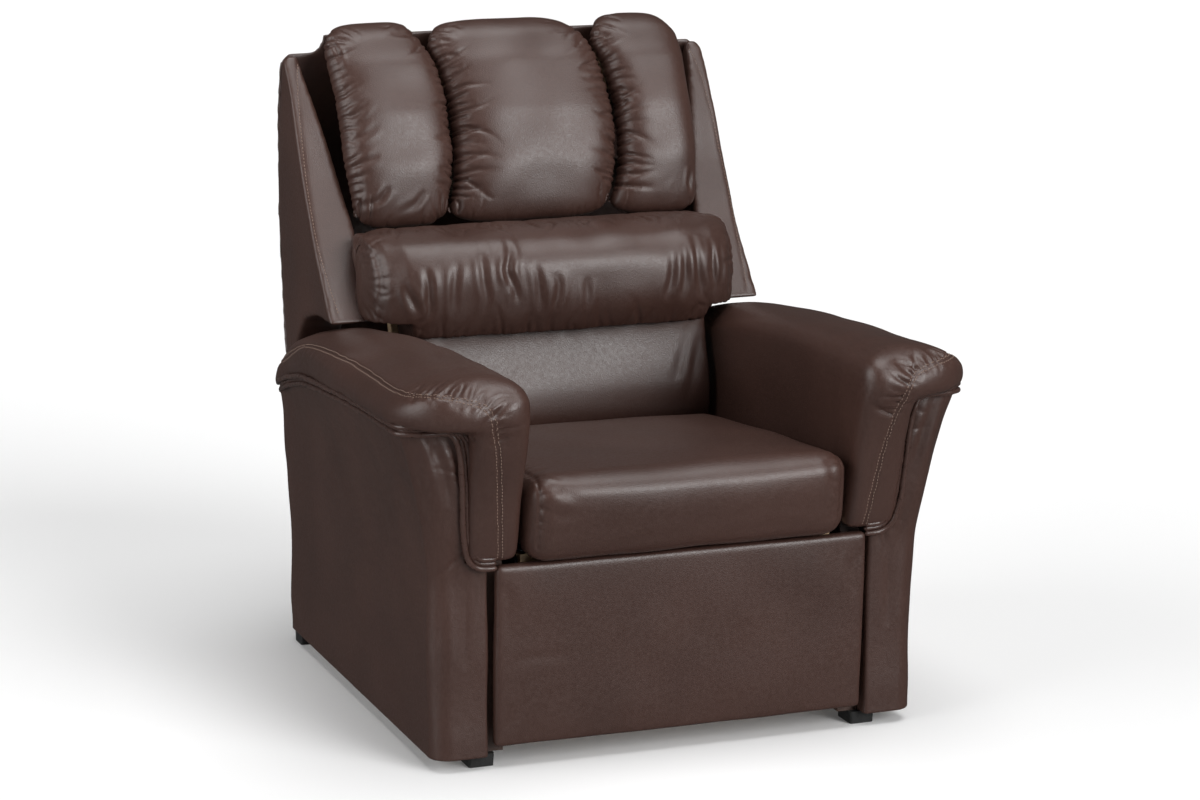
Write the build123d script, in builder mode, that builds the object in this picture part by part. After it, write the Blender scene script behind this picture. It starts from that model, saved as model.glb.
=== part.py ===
from build123d import *
from math import atan2, cos, degrees, radians, sin

# Push-back recliner armchair, in millimetres.
# +Z is up, the chair faces -Y, and the origin is on the floor under the middle of its bounding box.
# "left" is the -X side and "right" is the +X side.

# ---------------------------------------------------------------- driving dimensions
overall_half_width = 470
overall_half_depth = 510
overall_height = 1055
body_half_width = 401
body_bottom = 20
seat_half_width = 260
arm_inner_x = 272
front_panel_half_width = 305
front_panel_height = 289
back_half_width = 380

gap = 1
plate_t = 4
shaft_r = 5
bore_r = 5.05
collar_r = 7
head_r = 8

# Sideways positions of the inner face of each mechanism plate.
base_plate_x = 277
swing_x = 266
seat_plate_x = 256
control_x = 248
extension_x = 240
drive_x = 232

# ---------------------------------------------------------------- linkage layout, (Y, Z)
drive_pivot = (-318, 252)
drive_length = 200
drive_angle = 274.08
extension_length = 150
extension_angle = 115.68
control_stud_offset = 36
parallel_spacing = 70
control_pivot = (-345.1, 287.8)
control_length = 203.35
control_angle = -83.33
control_slack = 2.7

swing_length = 76
swing_lean = 14
swing_top_front = (-190, 258)
swing_top_rear = (110, 258)
back_pivot = (200, 300)
back_lean = 20.3


def polar(start, length, angle):
    """Point at a length and angle from a start point, in the side view."""
    return (start[0] + length * cos(radians(angle)), start[1] + length * sin(radians(angle)))


drive_end = polar(drive_pivot, drive_length, drive_angle)
drive_middle = polar(drive_pivot, drive_length / 2, drive_angle)
parallel_root = polar(drive_end, parallel_spacing, drive_angle - 180)
board_pivot_low = polar(drive_end, extension_length, extension_angle)
board_pivot_high = polar(parallel_root, extension_length, extension_angle)
control_stud = polar(drive_end, control_stud_offset, extension_angle)
control_end = polar(control_pivot, control_length, control_angle)
swing_foot_front = polar(swing_top_front, swing_length, 270 - swing_lean)
swing_foot_rear = polar(swing_top_rear, swing_length, 270 - swing_lean)


# ---------------------------------------------------------------- helpers
def save(part, name):
    """Name a sub-part and write its file."""
    part.label = name
    export_step(part, "parts/" + name + ".step")


def save_pair(part, name):
    """Write a +X sub-part as the right one and its mirror image as the left one."""
    save(part, name + "_right")
    save(mirror(part, about=Plane.YZ), name + "_left")


def bar(points, x_from, x_to):
    """Straight bar along X with a polygonal side view."""
    with BuildPart() as piece:
        with BuildSketch(Plane.YZ.offset(x_from)):
            Polygon(*points, align=None)
        extrude(amount=x_to - x_from)
    return piece.part


def plate_link(x_inner, outline, bores, studs):
    """Flat steel plate hulled round its pivots, with bored holes and riveted studs."""
    with BuildPart() as piece:
        with BuildSketch(Plane.YZ.offset(x_inner)):
            for pivot, radius in outline:
                with Locations(pivot):
                    Circle(radius)
            make_hull()
            for pivot, radius in bores:
                with Locations(pivot):
                    Circle(radius, mode=Mode.SUBTRACT)
        extrude(amount=plate_t)
        for pivot, radius, x_from, x_to in studs:
            with BuildSketch(Plane.YZ.offset(x_from)):
                with Locations(pivot):
                    Circle(radius)
            extrude(amount=x_to - x_from)
    return piece.part


def stud_outward(pivot, x_face, shaft=shaft_r):
    """Collar, shaft and head of a stud that stands out from a plate's outer face."""
    collar_end = x_face + 3.5
    shaft_end = collar_end + 5
    return [
        (pivot, collar_r, x_face - gap, collar_end),
        (pivot, shaft, collar_end, shaft_end),
        (pivot, head_r, shaft_end, shaft_end + 2),
    ]


def stud_inward(pivot, x_face, x_mate):
    """Collar, shaft and head of a stud that stands inward and carries a plate at x_mate."""
    return [
        (pivot, collar_r, x_mate + plate_t + 0.5, x_face + gap),
        (pivot, shaft_r, x_mate - 0.5, x_mate + plate_t + 0.5),
        (pivot, head_r, x_mate - 2.5, x_mate - 0.5),
    ]


# ---------------------------------------------------------------- arms
# The lower edge of each arm pad, where the welt runs, in the side view.
welt_line = [(412, 443), (300, 476), (167, 506), (50, 520), (-150, 538), (-320, 544), (-500, 546)]
welt_half = 3
welt_clear = 3.3
pad_drop_x = 302
pad_front_x = 351
pad_front_back_y = -385
pad_bottom = 332


def below_welt(rise, y_front, y_rear):
    """Side-view outline of everything below the welt line, raised by rise."""
    line = [(y, z + rise) for y, z in welt_line if y_front < y < y_rear]
    first = welt_height(y_rear) + rise
    last = welt_height(y_front) + rise
    return [(y_rear, 0), (y_rear, first)] + line + [(y_front, last), (y_front, 0)]


def welt_height(y):
    """Height of the welt line at a depth y."""
    for (y0, z0), (y1, z1) in zip(welt_line, welt_line[1:]):
        if y1 <= y <= y0:
            return z0 + (z1 - z0) * (y - y0) / (y1 - y0)
    return welt_line[0][1] if y > welt_line[0][0] else welt_line[-1][1]


# Arm pad: one padded piece that rolls over the top and hangs down the inner front.
with BuildPart() as arm_pad:
    with BuildSketch(Plane.YZ.offset(arm_inner_x)):
        with BuildLine():
            Line((412, 300), (412, 462))
            Spline((412, 462), (405, 480), (356, 518), (300, 547), (250, 565), (180, 580), (100, 591),
                   (-20, 604), (-180, 616), (-330, 621), (-430, 620))
            Spline((-430, 620), (-478, 612), (-overall_half_depth, 575), (-494, 540))
            Line((-494, 540), (-468, 470))
            Line((-468, 470), (-449, 400))
            Line((-449, 400), (-430, pad_bottom))
            Line((-430, pad_bottom), (-430, 300))
            Line((-430, 300), (412, 300))
        make_face()
    extrude(amount=overall_half_width - arm_inner_x + gap)
    with BuildSketch(Plane.XZ.offset(overall_half_depth + gap)):
        with BuildLine():
            Line((arm_inner_x, pad_bottom), (arm_inner_x, 575))
            Spline((arm_inner_x, 575), (282, 603), (320, 620), (370, 618), (420, 603), (458, 584),
                   (overall_half_width, 562), (462, 540))
            Line((462, 540), (425, 443))
            Line((425, 443), (410, pad_bottom))
            Line((410, pad_bottom), (arm_inner_x, pad_bottom))
        make_face()
    extrude(amount=-2 * (overall_half_depth + gap), mode=Mode.INTERSECT)
    with BuildSketch(Plane.XY):
        with BuildLine():
            Polyline((arm_inner_x, 412), (arm_inner_x, -490))
            Spline((arm_inner_x, -490), (290, -506), (340, -511), (400, -500), (452, -455),
                   (overall_half_width, -390))
            Spline((overall_half_width, -390), (465, -150), (450, 60), (432, 230), (418, 412))
            Line((418, 412), (arm_inner_x, 412))
        make_face()
    extrude(amount=overall_height, mode=Mode.INTERSECT)
    with BuildSketch(Plane.YZ.offset(pad_drop_x)):
        Polygon(*below_welt(welt_clear, pad_front_back_y, 420), align=None)
    extrude(amount=overall_half_width, mode=Mode.SUBTRACT)
    with BuildSketch(Plane.YZ.offset(pad_front_x)):
        Polygon(*below_welt(welt_clear, -520, pad_front_back_y), align=None)
    extrude(amount=overall_half_width, mode=Mode.SUBTRACT)
save_pair(arm_pad.part, "arm_pad")

# Arm side cover: outer side, front and rear in one wrap that flares out towards the top.
cover_inner_x = 314
cover_t = 8
cover_rear_y = 412
cover_sections = [
    (body_bottom, body_half_width, -415),
    (220, body_half_width, -416),
    (310, 405, -419),
    (375, 413, -437),
    (445, 425, -443),
    (510, 444, -446),
    (560, 464, -449),
]
with BuildPart() as arm_cover:
    for z, x_outer, y_front in cover_sections:
        with BuildSketch(Plane.XY.offset(z)):
            with Locations(((cover_inner_x + x_outer) / 2, (cover_rear_y + y_front) / 2)):
                RectangleRounded(x_outer - cover_inner_x, cover_rear_y - y_front, 32)
    loft(ruled=True)
    for z, x_outer, y_front in cover_sections:
        with BuildSketch(Plane.XY.offset(z)):
            with Locations(((cover_inner_x + x_outer) / 2, (cover_rear_y + y_front) / 2)):
                RectangleRounded(x_outer - cover_inner_x - 2 * cover_t,
                                 cover_rear_y - y_front - 2 * cover_t, 32 - cover_t)
    loft(ruled=True, mode=Mode.SUBTRACT)
    with BuildSketch(Plane.XY.offset(body_bottom)):
        with Locations((cover_inner_x, (cover_rear_y - 380) / 2)):
            Rectangle(76, cover_rear_y + 380)
    extrude(amount=overall_height, mode=Mode.SUBTRACT)
    with BuildSketch(Plane.XY.offset(pad_bottom - gap)):
        with Locations((pad_front_x - 100 + gap, -450)):
            Rectangle(200, 140)
    extrude(amount=overall_height, mode=Mode.SUBTRACT)
    with BuildSketch(Plane.YZ):
        upper = [(y, z - welt_clear) for y, z in welt_line]
        Polygon((420, 700), (420, upper[0][1]), *upper, (-520, upper[-1][1]), (-520, 700), align=None)
    extrude(amount=overall_half_width, mode=Mode.SUBTRACT)
save_pair(arm_cover.part, "arm_cover")

# Welt: the doubled piping band between the arm pad and the side cover.
with BuildPart() as arm_welt:
    with BuildSketch(Plane.XY):
        with BuildLine():
            Spline((424, 412), (436, 167), (450, 0), (463, -200), (464, -385))
            Spline((464, -385), (452, -428), (415, -456))
            Line((415, -456), (pad_front_x + gap, -456))
            Line((pad_front_x + gap, -456), (pad_front_x + gap, -446))
            Line((pad_front_x + gap, -446), (412, -446))
            Spline((412, -446), (444, -422), (454, -385))
            Spline((454, -385), (453, -200), (440, 0), (426, 167), (414, 412))
            Line((414, 412), (424, 412))
        make_face()
    extrude(amount=overall_height)
    with BuildSketch(Plane.YZ):
        upper = [(y, z + welt_half) for y, z in welt_line]
        lower = [(y, z - welt_half) for y, z in reversed(welt_line)]
        Polygon(*upper, *lower, align=None)
    extrude(amount=overall_half_width + gap, mode=Mode.INTERSECT)
save_pair(arm_welt.part, "arm_welt")

# Arm inner panel: covered board beside the seat, returned at the front behind the footrest panel.
with BuildPart() as arm_inner_panel:
    with BuildSketch(Plane.XY.offset(body_bottom)):
        Polygon((281, 402), (281, -385), (313, -385), (313, -379), (287, -379), (287, 402), align=None)
    extrude(amount=pad_bottom - gap - body_bottom)
save_pair(arm_inner_panel.part, "arm_inner_panel")

# Arm frame: wooden rails and posts sealed inside the arm.
rail_inner_x = 322
rail_outer_x = 346
with BuildPart() as arm_frame:
    for outline, x_outer in (
        ([(-372, 20), (398, 20), (398, 80), (-372, 80)], rail_outer_x),
        ([(-372, 80), (-332, 80), (-332, 503), (-372, 507)], rail_outer_x),
        ([(358, 80), (398, 80), (398, 417), (358, 422)], rail_outer_x),
        ([(-332, 250), (358, 250), (358, 290), (-332, 290)], rail_outer_x),
        ([(-372, 508), (398, 418), (398, 438), (-372, 528)], 396),
    ):
        with BuildSketch(Plane.YZ.offset(rail_inner_x)):
            Polygon(*outline, align=None)
        extrude(amount=x_outer - rail_inner_x)
save_pair(arm_frame.part, "arm_frame")

# Feet: four moulded blocks under the arms.
foot_top = body_bottom
with BuildPart() as foot_front:
    with BuildSketch(Plane.XY):
        with Locations((319, -370)):
            RectangleRounded(40, 50, 4)
    extrude(amount=foot_top, taper=-3)
save_pair(foot_front.part, "foot_front")
with BuildPart() as foot_rear:
    with BuildSketch(Plane.XY):
        with Locations((376, 367)):
            RectangleRounded(40, 38, 4)
    extrude(amount=foot_top, taper=-3)
save_pair(foot_rear.part, "foot_rear")

# ---------------------------------------------------------------- base
base_half_length = 281
save(bar([(-276, 25), (-254, 25), (-254, 90), (-276, 90)], -base_half_length, base_half_length),
     "base_rail_front")
save(bar([(370, 25), (394, 25), (394, 100), (370, 100)], -base_half_length, base_half_length),
     "base_rail_rear")
save(bar([(395, 22), (402, 22), (402, 430), (395, 430)], gap - arm_inner_x, arm_inner_x - gap),
     "base_rear_panel")

save_pair(
    plate_link(base_plate_x, [(swing_foot_front, 18), (swing_foot_rear, 18)], [],
               stud_inward(swing_foot_front, base_plate_x, swing_x)
               + stud_inward(swing_foot_rear, base_plate_x, swing_x)),
    "base_plate")

# ---------------------------------------------------------------- seat carriage
swing_ends = [("swing_link_front", swing_foot_front, swing_top_front),
              ("swing_link_rear", swing_foot_rear, swing_top_rear)]
for link_name, foot, top in swing_ends:
    save_pair(plate_link(swing_x, [(foot, 12), (top, 12)], [(foot, bore_r), (top, bore_r)], []), link_name)


def seat_underside(y):
    """Height of the sloping underside of the seat cushion."""
    return 340 - (y + 452) * 0.0734


seat_swing_studs = []
for top in (swing_top_front, swing_top_rear):
    seat_swing_studs += [
        (top, collar_r, seat_plate_x + plate_t - gap, swing_x - 0.5),
        (top, shaft_r, swing_x - 0.5, swing_x + plate_t + 0.5),
        (top, head_r, swing_x + plate_t + 0.5, swing_x + plate_t + 2.5),
    ]
with BuildPart() as seat_plate:
    with BuildSketch(Plane.YZ.offset(seat_plate_x)):
        Polygon((-388, 262), (-340, 230), (-200, 236), (120, 236), (205, 272), (224, 290), (224, 312),
                (205, 318), (176, 316), (110, 292), (60, 296), (-372, 328), (-388, 318), align=None)
    extrude(amount=plate_t)
    seat_studs = (stud_inward(drive_pivot, seat_plate_x, drive_x)
                  + stud_inward(control_pivot, seat_plate_x, control_x)
                  + stud_inward(back_pivot, seat_plate_x, control_x)
                  + seat_swing_studs)
    for pivot, radius, x_from, x_to in seat_studs:
        with BuildSketch(Plane.YZ.offset(x_from)):
            with Locations(pivot):
                Circle(radius)
        extrude(amount=x_to - x_from)
save_pair(seat_plate.part, "seat_plate")

# Cross tube that ties the two seat plates together.
seat_tube_at = (20, 262)
with BuildPart() as seat_tube:
    with BuildSketch(Plane.YZ.offset(-seat_plate_x)):
        with Locations(seat_tube_at):
            Circle(11)
            Circle(9, mode=Mode.SUBTRACT)
    extrude(amount=2 * seat_plate_x)
save(seat_tube.part, "seat_tube")

# Seat frame: four wooden rails under the deck.
rail_top = -6.5
rail_bottom = -28.5
rail_inner = 230
frame_front = -398
frame_rear = 60
rail_width = 26


def seat_rail_outline(y_from, y_to):
    """Side view of a rail that follows the seat's slope."""
    return [(y_from, seat_underside(y_from) + rail_bottom), (y_to, seat_underside(y_to) + rail_bottom),
            (y_to, seat_underside(y_to) + rail_top), (y_from, seat_underside(y_from) + rail_top)]


save_pair(bar(seat_rail_outline(frame_front, frame_rear), rail_inner, seat_plate_x), "seat_rail_side")
save(bar(seat_rail_outline(frame_front, frame_front + rail_width), -rail_inner, rail_inner),
     "seat_rail_front")
save(bar(seat_rail_outline(frame_rear - rail_width, frame_rear), -rail_inner, rail_inner),
     "seat_rail_rear")

# Sinuous springs: five zigzag wires from the front rail to the rear rail.
wire_r = 1.8
spring_turn_r = 10
spring_half_run = 16
spring_rows = 22
spring_pitch = 90
spring_level = -4.3
spring_start = -388
slope_angle = degrees(atan2(seat_underside(0) - seat_underside(1), 1))
spring_plane = Plane(origin=(0, spring_start, seat_underside(spring_start) + spring_level),
                     x_dir=(1, 0, 0), z_dir=(0, sin(radians(slope_angle)), cos(radians(slope_angle))))
with BuildPart() as spring:
    with BuildLine(spring_plane) as spring_path:
        side = 1
        for row in range(spring_rows):
            y_row = row * 2 * spring_turn_r
            Line((-side * spring_half_run, y_row), (side * spring_half_run, y_row))
            if row < spring_rows - 1:
                ThreePointArc((side * spring_half_run, y_row),
                              (side * (spring_half_run + spring_turn_r), y_row + spring_turn_r),
                              (side * spring_half_run, y_row + 2 * spring_turn_r))
            side = -side
    with BuildSketch(Plane(origin=spring_path.line @ 0, z_dir=spring_path.line % 0)):
        Circle(wire_r)
    sweep()
with BuildPart() as seat_springs:
    with Locations(*[(spring_pitch * (n - 2), 0, 0) for n in range(5)]):
        add(spring.part)
save(seat_springs.part, "seat_springs")

# Deck: the cloth over the springs.
deck_t = 2
save(bar([(frame_front, seat_underside(frame_front) - deck_t), (frame_rear, seat_underside(frame_rear) - deck_t),
          (frame_rear, seat_underside(frame_rear)), (frame_front, seat_underside(frame_front))],
         -seat_plate_x + gap, seat_plate_x - gap), "seat_deck")

# Seat cushion: crowned box cushion with a rounded front.
with BuildPart() as seat_cushion:
    with BuildSketch(Plane.YZ.offset(-seat_half_width)):
        with BuildLine():
            Line((88, seat_underside(88)), (-442, seat_underside(-442)))
            Spline((-442, seat_underside(-442)), (-453, 348), (-462, 400), (-470, 445), (-462, 466), (-430, 476))
            Spline((-430, 476), (-330, 478), (-200, 464), (-60, 446), (60, 430))
            Spline((60, 430), (84, 422), (88, 400))
            Line((88, 400), (88, seat_underside(88)))
        make_face()
    extrude(amount=2 * seat_half_width)
    with BuildSketch(Plane.XZ.offset(-100)):
        with BuildLine():
            Line((-seat_half_width, 280), (-seat_half_width, 456))
            Spline((-seat_half_width, 456), (-245, 468), (0, 482), (245, 468), (seat_half_width, 456))
            Line((seat_half_width, 456), (seat_half_width, 280))
            Line((seat_half_width, 280), (-seat_half_width, 280))
        make_face()
    extrude(amount=600, mode=Mode.INTERSECT)
    with BuildSketch(Plane.XY.offset(250)):
        with Locations((0, -186)):
            RectangleRounded(2 * seat_half_width, 568, 14)
    extrude(amount=300, mode=Mode.INTERSECT)
save(seat_cushion.part, "seat_cushion")

# ---------------------------------------------------------------- footrest
panel_lean = 2.77
panel_front_middle = (-427, 178.5)
pad_t = 22
board_t = 10


def panel_point(up, behind):
    """Point on the leaning footrest panel: up from its middle and behind its front face."""
    return (panel_front_middle[0] - up * sin(radians(panel_lean)) + behind * cos(radians(panel_lean)),
            panel_front_middle[1] + up * cos(radians(panel_lean)) + behind * sin(radians(panel_lean)))


panel_plane = Plane(origin=(0, panel_front_middle[0], panel_front_middle[1]), x_dir=(1, 0, 0),
                    z_dir=(0, -cos(radians(panel_lean)), -sin(radians(panel_lean))))
with BuildPart() as footrest_pad:
    with BuildSketch(panel_plane):
        RectangleRounded(2 * front_panel_half_width, front_panel_height, 10)
    extrude(amount=-pad_t)
    front_edges = footrest_pad.faces().sort_by(Axis.Y)[0].edges()
    fillet(front_edges, 8)
save(footrest_pad.part, "footrest_pad")

with BuildPart() as footrest_board:
    with BuildSketch(panel_plane.offset(-pad_t)):
        RectangleRounded(2 * front_panel_half_width - 24, front_panel_height - 24, 8)
    extrude(amount=-board_t)
save(footrest_board.part, "footrest_board")

panel_back = pad_t + board_t
bracket_studs = stud_outward(board_pivot_low, drive_x + plate_t) + stud_outward(board_pivot_high, drive_x + plate_t)
with BuildPart() as footrest_bracket:
    with BuildSketch(Plane.YZ.offset(drive_x)):
        for pivot, radius in ((board_pivot_low, 12), (board_pivot_high, 12),
                              (panel_point(-60, panel_back + 4), 4), (panel_point(110, panel_back + 4), 4)):
            with Locations(pivot):
                Circle(radius)
        make_hull()
    extrude(amount=plate_t)
    with BuildSketch(panel_plane.offset(-panel_back)):
        with Locations((drive_x - 10 + plate_t, 25)):
            Rectangle(20, 170)
    extrude(amount=-3)
    for pivot, radius, x_from, x_to in bracket_studs:
        with BuildSketch(Plane.YZ.offset(x_from)):
            with Locations(pivot):
                Circle(radius)
        extrude(amount=x_to - x_from)
save_pair(footrest_bracket.part, "footrest_bracket")

save_pair(
    plate_link(drive_x, [(drive_pivot, 12), (drive_end, 12)], [(drive_pivot, bore_r)],
               stud_outward(drive_end, drive_x + plate_t) + stud_outward(parallel_root, drive_x + plate_t)),
    "drive_link")
save_pair(
    plate_link(extension_x, [(drive_end, 11), (board_pivot_low, 11)],
               [(drive_end, bore_r), (board_pivot_low, bore_r)],
               stud_outward(control_stud, extension_x + plate_t, 3)),
    "extension_link")
save_pair(
    plate_link(extension_x, [(parallel_root, 10), (board_pivot_high, 10)],
               [(parallel_root, bore_r), (board_pivot_high, bore_r)], []),
    "parallel_link")
save_pair(
    plate_link(control_x, [(control_pivot, 11), (control_end, 12)],
               [(control_pivot, bore_r), (control_end, 3 + control_slack)], []),
    "control_link")

# Cross tube that makes the two drive links swing together.
with BuildPart() as drive_tube:
    with BuildSketch(Plane.YZ.offset(-drive_x)):
        with Locations(drive_middle):
            Circle(9)
            Circle(7, mode=Mode.SUBTRACT)
    extrude(amount=2 * drive_x)
save(drive_tube.part, "drive_tube")

# ---------------------------------------------------------------- back
post_start = (205, 325)
post_half = 10


def post_point(up, forward):
    """Point on the leaning back frame: up along the posts and forward of their middle line."""
    return (post_start[0] + up * sin(radians(back_lean)) - forward * cos(radians(back_lean)),
            post_start[1] + up * cos(radians(back_lean)) + forward * sin(radians(back_lean)))


def post_block(up_from, up_to, x_from, x_to):
    """Bar whose side view is a length of the leaning back frame."""
    outline = [post_point(up_from, post_half), post_point(up_to, post_half),
               post_point(up_to, -post_half), post_point(up_from, -post_half)]
    return bar(outline, x_from, x_to)


post_inner_x = 222
post_outer_x = control_x
save_pair(post_block(0, 690, post_inner_x, post_outer_x), "back_post")

# Back rails: three separate wooden bars between the posts.
with BuildPart() as back_rails:
    for rail_at in (70, 360, 645):
        add(post_block(rail_at, rail_at + 45, -post_inner_x, post_inner_x))
save(back_rails.part, "back_rails")

# Webbing: elastic straps across the front of the posts.
with BuildPart() as back_webbing:
    for row in range(5):
        up = 150 + row * 105
        with BuildSketch(Plane.YZ.offset(-post_outer_x)):
            Polygon(post_point(up, post_half + 0.2), post_point(up + 50, post_half + 0.2),
                    post_point(up + 50, post_half + 1.8), post_point(up, post_half + 1.8), align=None)
        extrude(amount=2 * post_outer_x)
save(back_webbing.part, "back_webbing")

save_pair(
    plate_link(control_x, [(back_pivot, 14), (post_point(150, 0), 9)], [(back_pivot, bore_r)], []),
    "back_bracket")

# Outer back cover.
cover_back_line = [(472, 1036), (493, 900), (overall_half_depth, 748), (500, 610), (474, 482)]
cover_back_t = 8
with BuildPart() as back_cover:
    with BuildSketch(Plane.YZ.offset(-back_half_width)):
        with BuildLine():
            Spline(*cover_back_line)
            Line(cover_back_line[-1], (474 - cover_back_t, 482))
            Spline(*[(y - cover_back_t, z) for y, z in reversed(cover_back_line)])
            Line((472 - cover_back_t, 1036), cover_back_line[0])
        make_face()
    extrude(amount=2 * back_half_width)
    with BuildSketch(Plane.XZ.offset(-600)):
        with BuildLine():
            Polyline((-366, 1005), (-back_half_width, 992), (-back_half_width, 400), (back_half_width, 400),
                     (back_half_width, 992), (366, 1005), (322, 1006))
            Spline((322, 1006), (312, 1018), (306, 1036))
            Line((306, 1036), (-306, 1036))
            Spline((-306, 1036), (-312, 1018), (-322, 1006))
            Line((-322, 1006), (-366, 1005))
        make_face()
    extrude(amount=300, mode=Mode.INTERSECT)
save(back_cover.part, "back_cover")

# Wings: the outer sides of the back, beside the upper cushions and above the arms.
wing_rear_line = [(y - cover_back_t - 3, z) for y, z in cover_back_line]
with BuildPart() as back_wing:
    with BuildSketch(Plane.YZ.offset(300)):
        with BuildLine():
            Spline((182, 600), (275, 706), (310, 760), (340, 809), (392, 908), (447, 994))
            Line((447, 994), (453, 1003))
            Line((453, 1003), (463, 1003))
            Line((463, 1003), (wing_rear_line[1][0], 900))
            Spline(*wing_rear_line[1:])
            Line(wing_rear_line[-1], (420, 496))
            Polyline((420, 496), (420, 562), (300, 587), (182, 600))
        make_face()
    extrude(amount=back_half_width - 300)
    with BuildSketch(Plane.XZ.offset(-600)):
        with BuildLine():
            Polyline((308, 450), (308, 731), (319, 800), (337, 900), (355, 1004), (back_half_width - 9, 1004),
                     (back_half_width, 993), (back_half_width, 450), (308, 450))
        make_face()
    extrude(amount=600, mode=Mode.INTERSECT)
save_pair(back_wing.part, "back_wing")

# Upper back cushions: a centre one and one each side.
seam_x = 146


def upper_cushion(front_outline):
    """Upper back cushion with the shared side view and its own front outline."""
    with BuildPart() as piece:
        with BuildSketch(Plane.YZ.offset(-back_half_width)):
            with BuildLine():
                Spline((310, 732), (284, 746), (300, 810), (338, 900), (380, 995), (398, 1035),
                       (428, overall_height), (455, 1040), (461, 1004))
                Line((461, 1004), (434, 984))
                Line((434, 984), (342, 737))
                Line((342, 737), (310, 732))
            make_face()
        extrude(amount=2 * back_half_width)
        with BuildSketch(Plane.XZ.offset(-600)):
            with BuildLine():
                Polyline(*front_outline[0])
                Spline(*front_outline[1])
                if len(front_outline) > 2:
                    Polyline(*front_outline[2])
            make_face()
        extrude(amount=600, mode=Mode.INTERSECT)
    return piece.part


cushion_top = overall_height + gap
save(upper_cushion((
    [(-seam_x + gap, cushion_top), (-seam_x + gap, 730), (seam_x - gap, 730), (seam_x - gap, cushion_top)],
    [(seam_x - gap, cushion_top), (0, cushion_top + 1), (-seam_x + gap, cushion_top)],
)), "back_cushion_centre")
save_pair(upper_cushion((
    [(312, 800), (304, 731), (304, 730), (seam_x + gap, 730), (seam_x + gap, cushion_top)],
    [(seam_x + gap, cushion_top), (250, 1052), (318, 1032), (341, 990), (328, 900), (312, 800)],
)), "back_cushion")

# Lumbar roll.
with BuildPart() as lumbar_cushion:
    with BuildSketch(Plane.YZ.offset(-325)):
        with BuildLine():
            Spline((112, 594), (84, 624), (80, 658), (88, 692), (118, 722), (170, 734), (232, 734))
            Spline((232, 734), (267, 730), (278, 717), (256, 692), (215, 650), (160, 597))
            Line((160, 597), (112, 594))
        make_face()
    extrude(amount=650)
    with BuildSketch(Plane.XY.offset(560)):
        with BuildLine():
            Spline((-325, 285), (-325, 150), (-270, 96), (0, 78), (270, 96), (325, 150), (325, 285))
            Line((325, 285), (-325, 285))
        make_face()
    extrude(amount=200, mode=Mode.INTERSECT)
save(lumbar_cushion.part, "lumbar_cushion")

# Lower back panel, between the arms and behind the seat cushion.
with BuildPart() as lower_back_panel:
    with BuildSketch(Plane.YZ.offset(-seat_half_width)):
        with BuildLine():
            Line((112, 380), (150, 380))
            Spline((150, 380), (156, 470), (200, 545), (226, 588))
            Line((226, 588), (160, 592))
            Line((160, 592), (118, 592))
            Spline((118, 592), (112, 520), (95, 467), (94, 420), (112, 380))
        make_face()
    extrude(amount=2 * seat_half_width)
save(lower_back_panel.part, "lower_back_panel")
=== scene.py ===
import math
import bpy
import numpy as np
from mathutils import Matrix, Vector
from mathutils.bvhtree import BVHTree


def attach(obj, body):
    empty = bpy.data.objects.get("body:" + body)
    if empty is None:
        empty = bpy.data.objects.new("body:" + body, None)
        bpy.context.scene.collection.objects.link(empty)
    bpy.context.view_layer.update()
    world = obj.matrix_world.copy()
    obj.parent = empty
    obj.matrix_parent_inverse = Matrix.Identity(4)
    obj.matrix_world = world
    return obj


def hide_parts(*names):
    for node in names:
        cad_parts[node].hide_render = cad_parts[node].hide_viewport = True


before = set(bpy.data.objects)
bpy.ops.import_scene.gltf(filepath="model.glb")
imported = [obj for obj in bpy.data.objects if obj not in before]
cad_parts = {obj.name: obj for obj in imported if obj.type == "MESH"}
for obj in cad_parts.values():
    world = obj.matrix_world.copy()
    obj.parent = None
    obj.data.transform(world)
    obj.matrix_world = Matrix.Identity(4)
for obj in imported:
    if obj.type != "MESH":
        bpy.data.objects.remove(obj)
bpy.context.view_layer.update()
scene = bpy.context.scene

# ------------------------------------------------------------------ materials


def new_material(name):
    m = bpy.data.materials.new(name)
    m.use_nodes = True
    nt = m.node_tree
    nt.nodes.clear()
    out = nt.nodes.new("ShaderNodeOutputMaterial")
    p = nt.nodes.new("ShaderNodeBsdfPrincipled")
    nt.links.new(p.outputs[0], out.inputs[0])
    where = nt.nodes.new("ShaderNodeTexCoord")
    return m, nt, p, where


def noise_node(nt, where, scale, detail=3.0, rough=0.5, squeeze=None):
    n = nt.nodes.new("ShaderNodeTexNoise")
    n.inputs["Scale"].default_value = scale
    n.inputs["Detail"].default_value = detail
    n.inputs["Roughness"].default_value = rough
    if squeeze:
        s = nt.nodes.new("ShaderNodeMapping")
        s.inputs["Scale"].default_value = squeeze
        nt.links.new(where.outputs["Object"], s.inputs["Vector"])
        nt.links.new(s.outputs[0], n.inputs["Vector"])
    else:
        nt.links.new(where.outputs["Object"], n.inputs["Vector"])
    return n


def span(nt, source, low, high):
    """Stretch the middle of a noise, where nearly all of it lies, over low to high."""
    r = nt.nodes.new("ShaderNodeMapRange")
    r.inputs["From Min"].default_value = 0.3
    r.inputs["From Max"].default_value = 0.7
    r.inputs["To Min"].default_value = low
    r.inputs["To Max"].default_value = high
    nt.links.new(source, r.inputs["Value"])
    return r.outputs["Result"]


def two_tone(nt, factor, dark, light):
    m = nt.nodes.new("ShaderNodeMix")
    m.data_type = "RGBA"
    m.inputs[6].default_value = (*dark, 1)
    m.inputs[7].default_value = (*light, 1)
    nt.links.new(factor, m.inputs[0])
    return m.outputs[2]


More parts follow.
